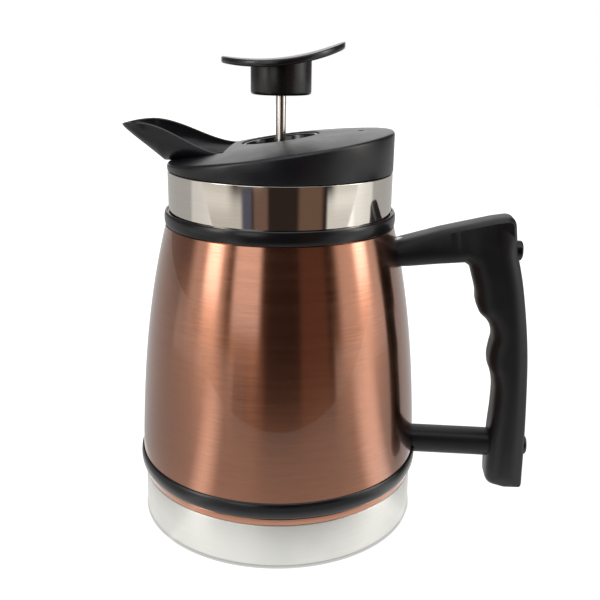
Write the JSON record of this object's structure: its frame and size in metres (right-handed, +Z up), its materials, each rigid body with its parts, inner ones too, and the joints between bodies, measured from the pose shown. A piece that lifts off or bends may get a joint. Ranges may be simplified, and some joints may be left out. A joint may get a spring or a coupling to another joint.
{
  "type": "french press",
  "caption": "Insulated french press: tapered double-walled steel jug with side handle, tilted lift-off pouring lid, sliding plunger with mesh filter.",
  "frame": {"origin": "on the jug axis at table level, on the underside of the base pad", "axes": "+Z up along the jug axis, +X towards the handle, -X towards the spout"},
  "size_m": [0.1943, 0.1356, 0.2214],
  "materials": {
    "copper_lacquer": "satin",
    "brushed_steel": "brushed",
    "polished_steel": "polished",
    "inner_steel": "satin",
    "black_rubber": "matte",
    "black_plastic": "satin",
    "gloss_black": "gloss",
    "grey_silicone": "satin",
    "brass_insert": "satin"
  },
  "bodies": {
    "carafe": {"base_cup": "brushed_steel", "base_pad": "black_rubber", "getter_cup": "inner_steel", "outer_shell": "copper_lacquer", "neck_collar": "polished_steel", "inner_liner": "inner_steel", "lower_bumper": "black_rubber", "upper_bumper": "black_rubber", "handle": "black_plastic", "weld_stud_upper": "inner_steel", "handle_screw_upper": "inner_steel", "screw_washer_upper": "inner_steel", "screw_plug_upper": "black_rubber", "weld_stud_lower": "inner_steel", "handle_screw_lower": "inner_steel", "screw_washer_lower": "inner_steel", "screw_plug_lower": "black_rubber"},
    "lid_seal": {"lid_gasket": "grey_silicone"},
    "lid": {"lid_cover": "black_plastic", "lid_plug": "black_plastic", "pour_strainer": "black_plastic", "rod_well": "gloss_black", "rod_bushing": "gloss_black", "spout": "black_plastic"},
    "plunger_seal": {"wiper_seal": "grey_silicone"},
    "plunger": {"knob_plate": "black_plastic", "knob_collar": "gloss_black", "knob_insert": "brass_insert", "plunger_rod": "polished_steel", "press_nut": "inner_steel", "press_disc": "inner_steel", "filter_spacer": "inner_steel", "filter_mesh": "inner_steel", "filter_support": "inner_steel", "hub_nut": "inner_steel"}
  },
  "joints": [
    {"name": "lid_lift", "type": "slide", "parent": "carafe", "child": "lid_seal", "axis": [0, 0, 1], "range_m": [0, 0.15]},
    {"name": "lid_turn", "type": "hinge", "parent": "lid_seal", "child": "lid", "pos_m": [0, 0, 0.1575], "axis": [0, 0, 1], "continuous": true},
    {"name": "plunger_slide", "type": "slide", "parent": "lid", "child": "plunger_seal", "axis": [0, 0, 1], "range_m": [-0.0275, 0.078]},
    {"name": "plunger_turn", "type": "hinge", "parent": "plunger_seal", "child": "plunger", "pos_m": [0, 0, 0.068], "axis": [0, 0, 1], "continuous": true}
  ]
}
